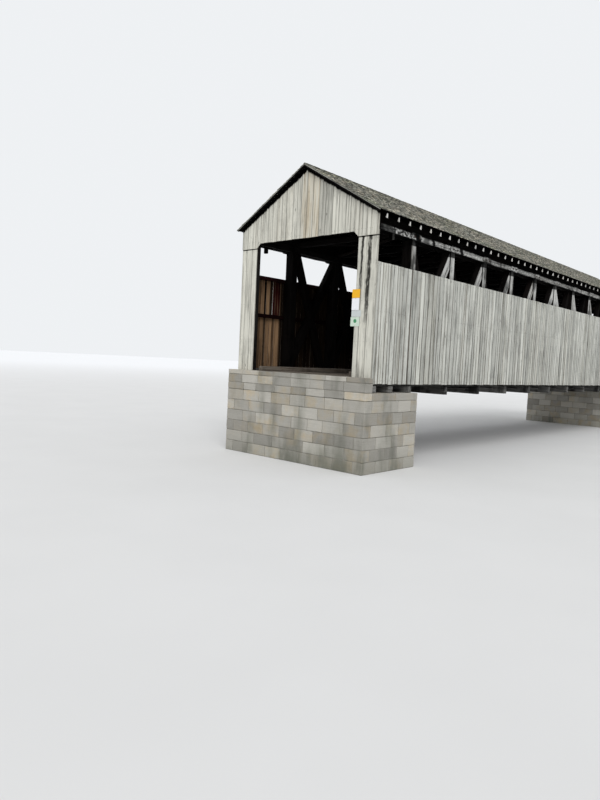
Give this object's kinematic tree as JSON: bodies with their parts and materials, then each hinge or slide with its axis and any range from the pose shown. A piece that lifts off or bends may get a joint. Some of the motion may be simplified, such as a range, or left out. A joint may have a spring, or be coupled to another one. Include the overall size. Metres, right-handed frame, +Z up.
{
  "type": "covered bridge",
  "caption": "Timber covered bridge with braced trusses, plank floor, shingled gable roof, boarded sides and portals, on stone abutments.",
  "frame": {"origin": "middle of the base, at the level the abutments stand on", "axes": "+X along the bridge away from the near portal, +Y to the left of the roadway, +Z up"},
  "size_m": [28.925, 6.176, 9.469],
  "materials": {
    "timber_frame": "rough-sawn, weathered",
    "side_boards": "rough-sawn, weathered silver grey",
    "gable_boards": "rough-sawn, weathered pale grey",
    "roof_timber": "rough-sawn",
    "roof_shingle": "split, weathered grey brown",
    "floor_plank": "sawn, worn",
    "stonework": "coursed, rock-faced",
    "sign_metal": "satin"
  },
  "bodies": {
    "root": {"bed_timbers": "timber_frame", "chord_blocks": "timber_frame", "tie_beams": "timber_frame", "wall_plates": "timber_frame", "portal_posts": "timber_frame", "portal_headers": "timber_frame", "floor_beams": "timber_frame", "floor_stringers": "timber_frame", "lower_lateral_braces": "timber_frame", "upper_lateral_braces": "timber_frame", "lower_chord_left": "timber_frame", "upper_chord_left": "timber_frame", "truss_posts_left": "timber_frame", "main_braces_left": "timber_frame", "counter_braces_left": "timber_frame", "siding_girts_left": "timber_frame", "lower_chord_right": "timber_frame", "upper_chord_right": "timber_frame", "truss_posts_right": "timber_frame", "main_braces_right": "timber_frame", "counter_braces_right": "timber_frame", "siding_girts_right": "timber_frame", "siding_left": "side_boards", "siding_right": "side_boards", "gable_near": "gable_boards", "gable_far": "gable_boards", "jamb_boards_near": "gable_boards", "jamb_boards_far": "gable_boards", "rafters_left": "roof_timber", "rafters_right": "roof_timber", "roof_laths_left": "roof_timber", "roof_laths_right": "roof_timber", "rake_boards_near": "roof_timber", "rake_boards_far": "roof_timber", "roof_shingles_left": "roof_shingle", "roof_shingles_right": "roof_shingle", "floor_deck": "floor_plank", "wheel_guards": "floor_plank", "abutment_near": "stonework", "abutment_far": "stonework", "sign_plates": "sign_metal"}
  },
  "joints": []
}
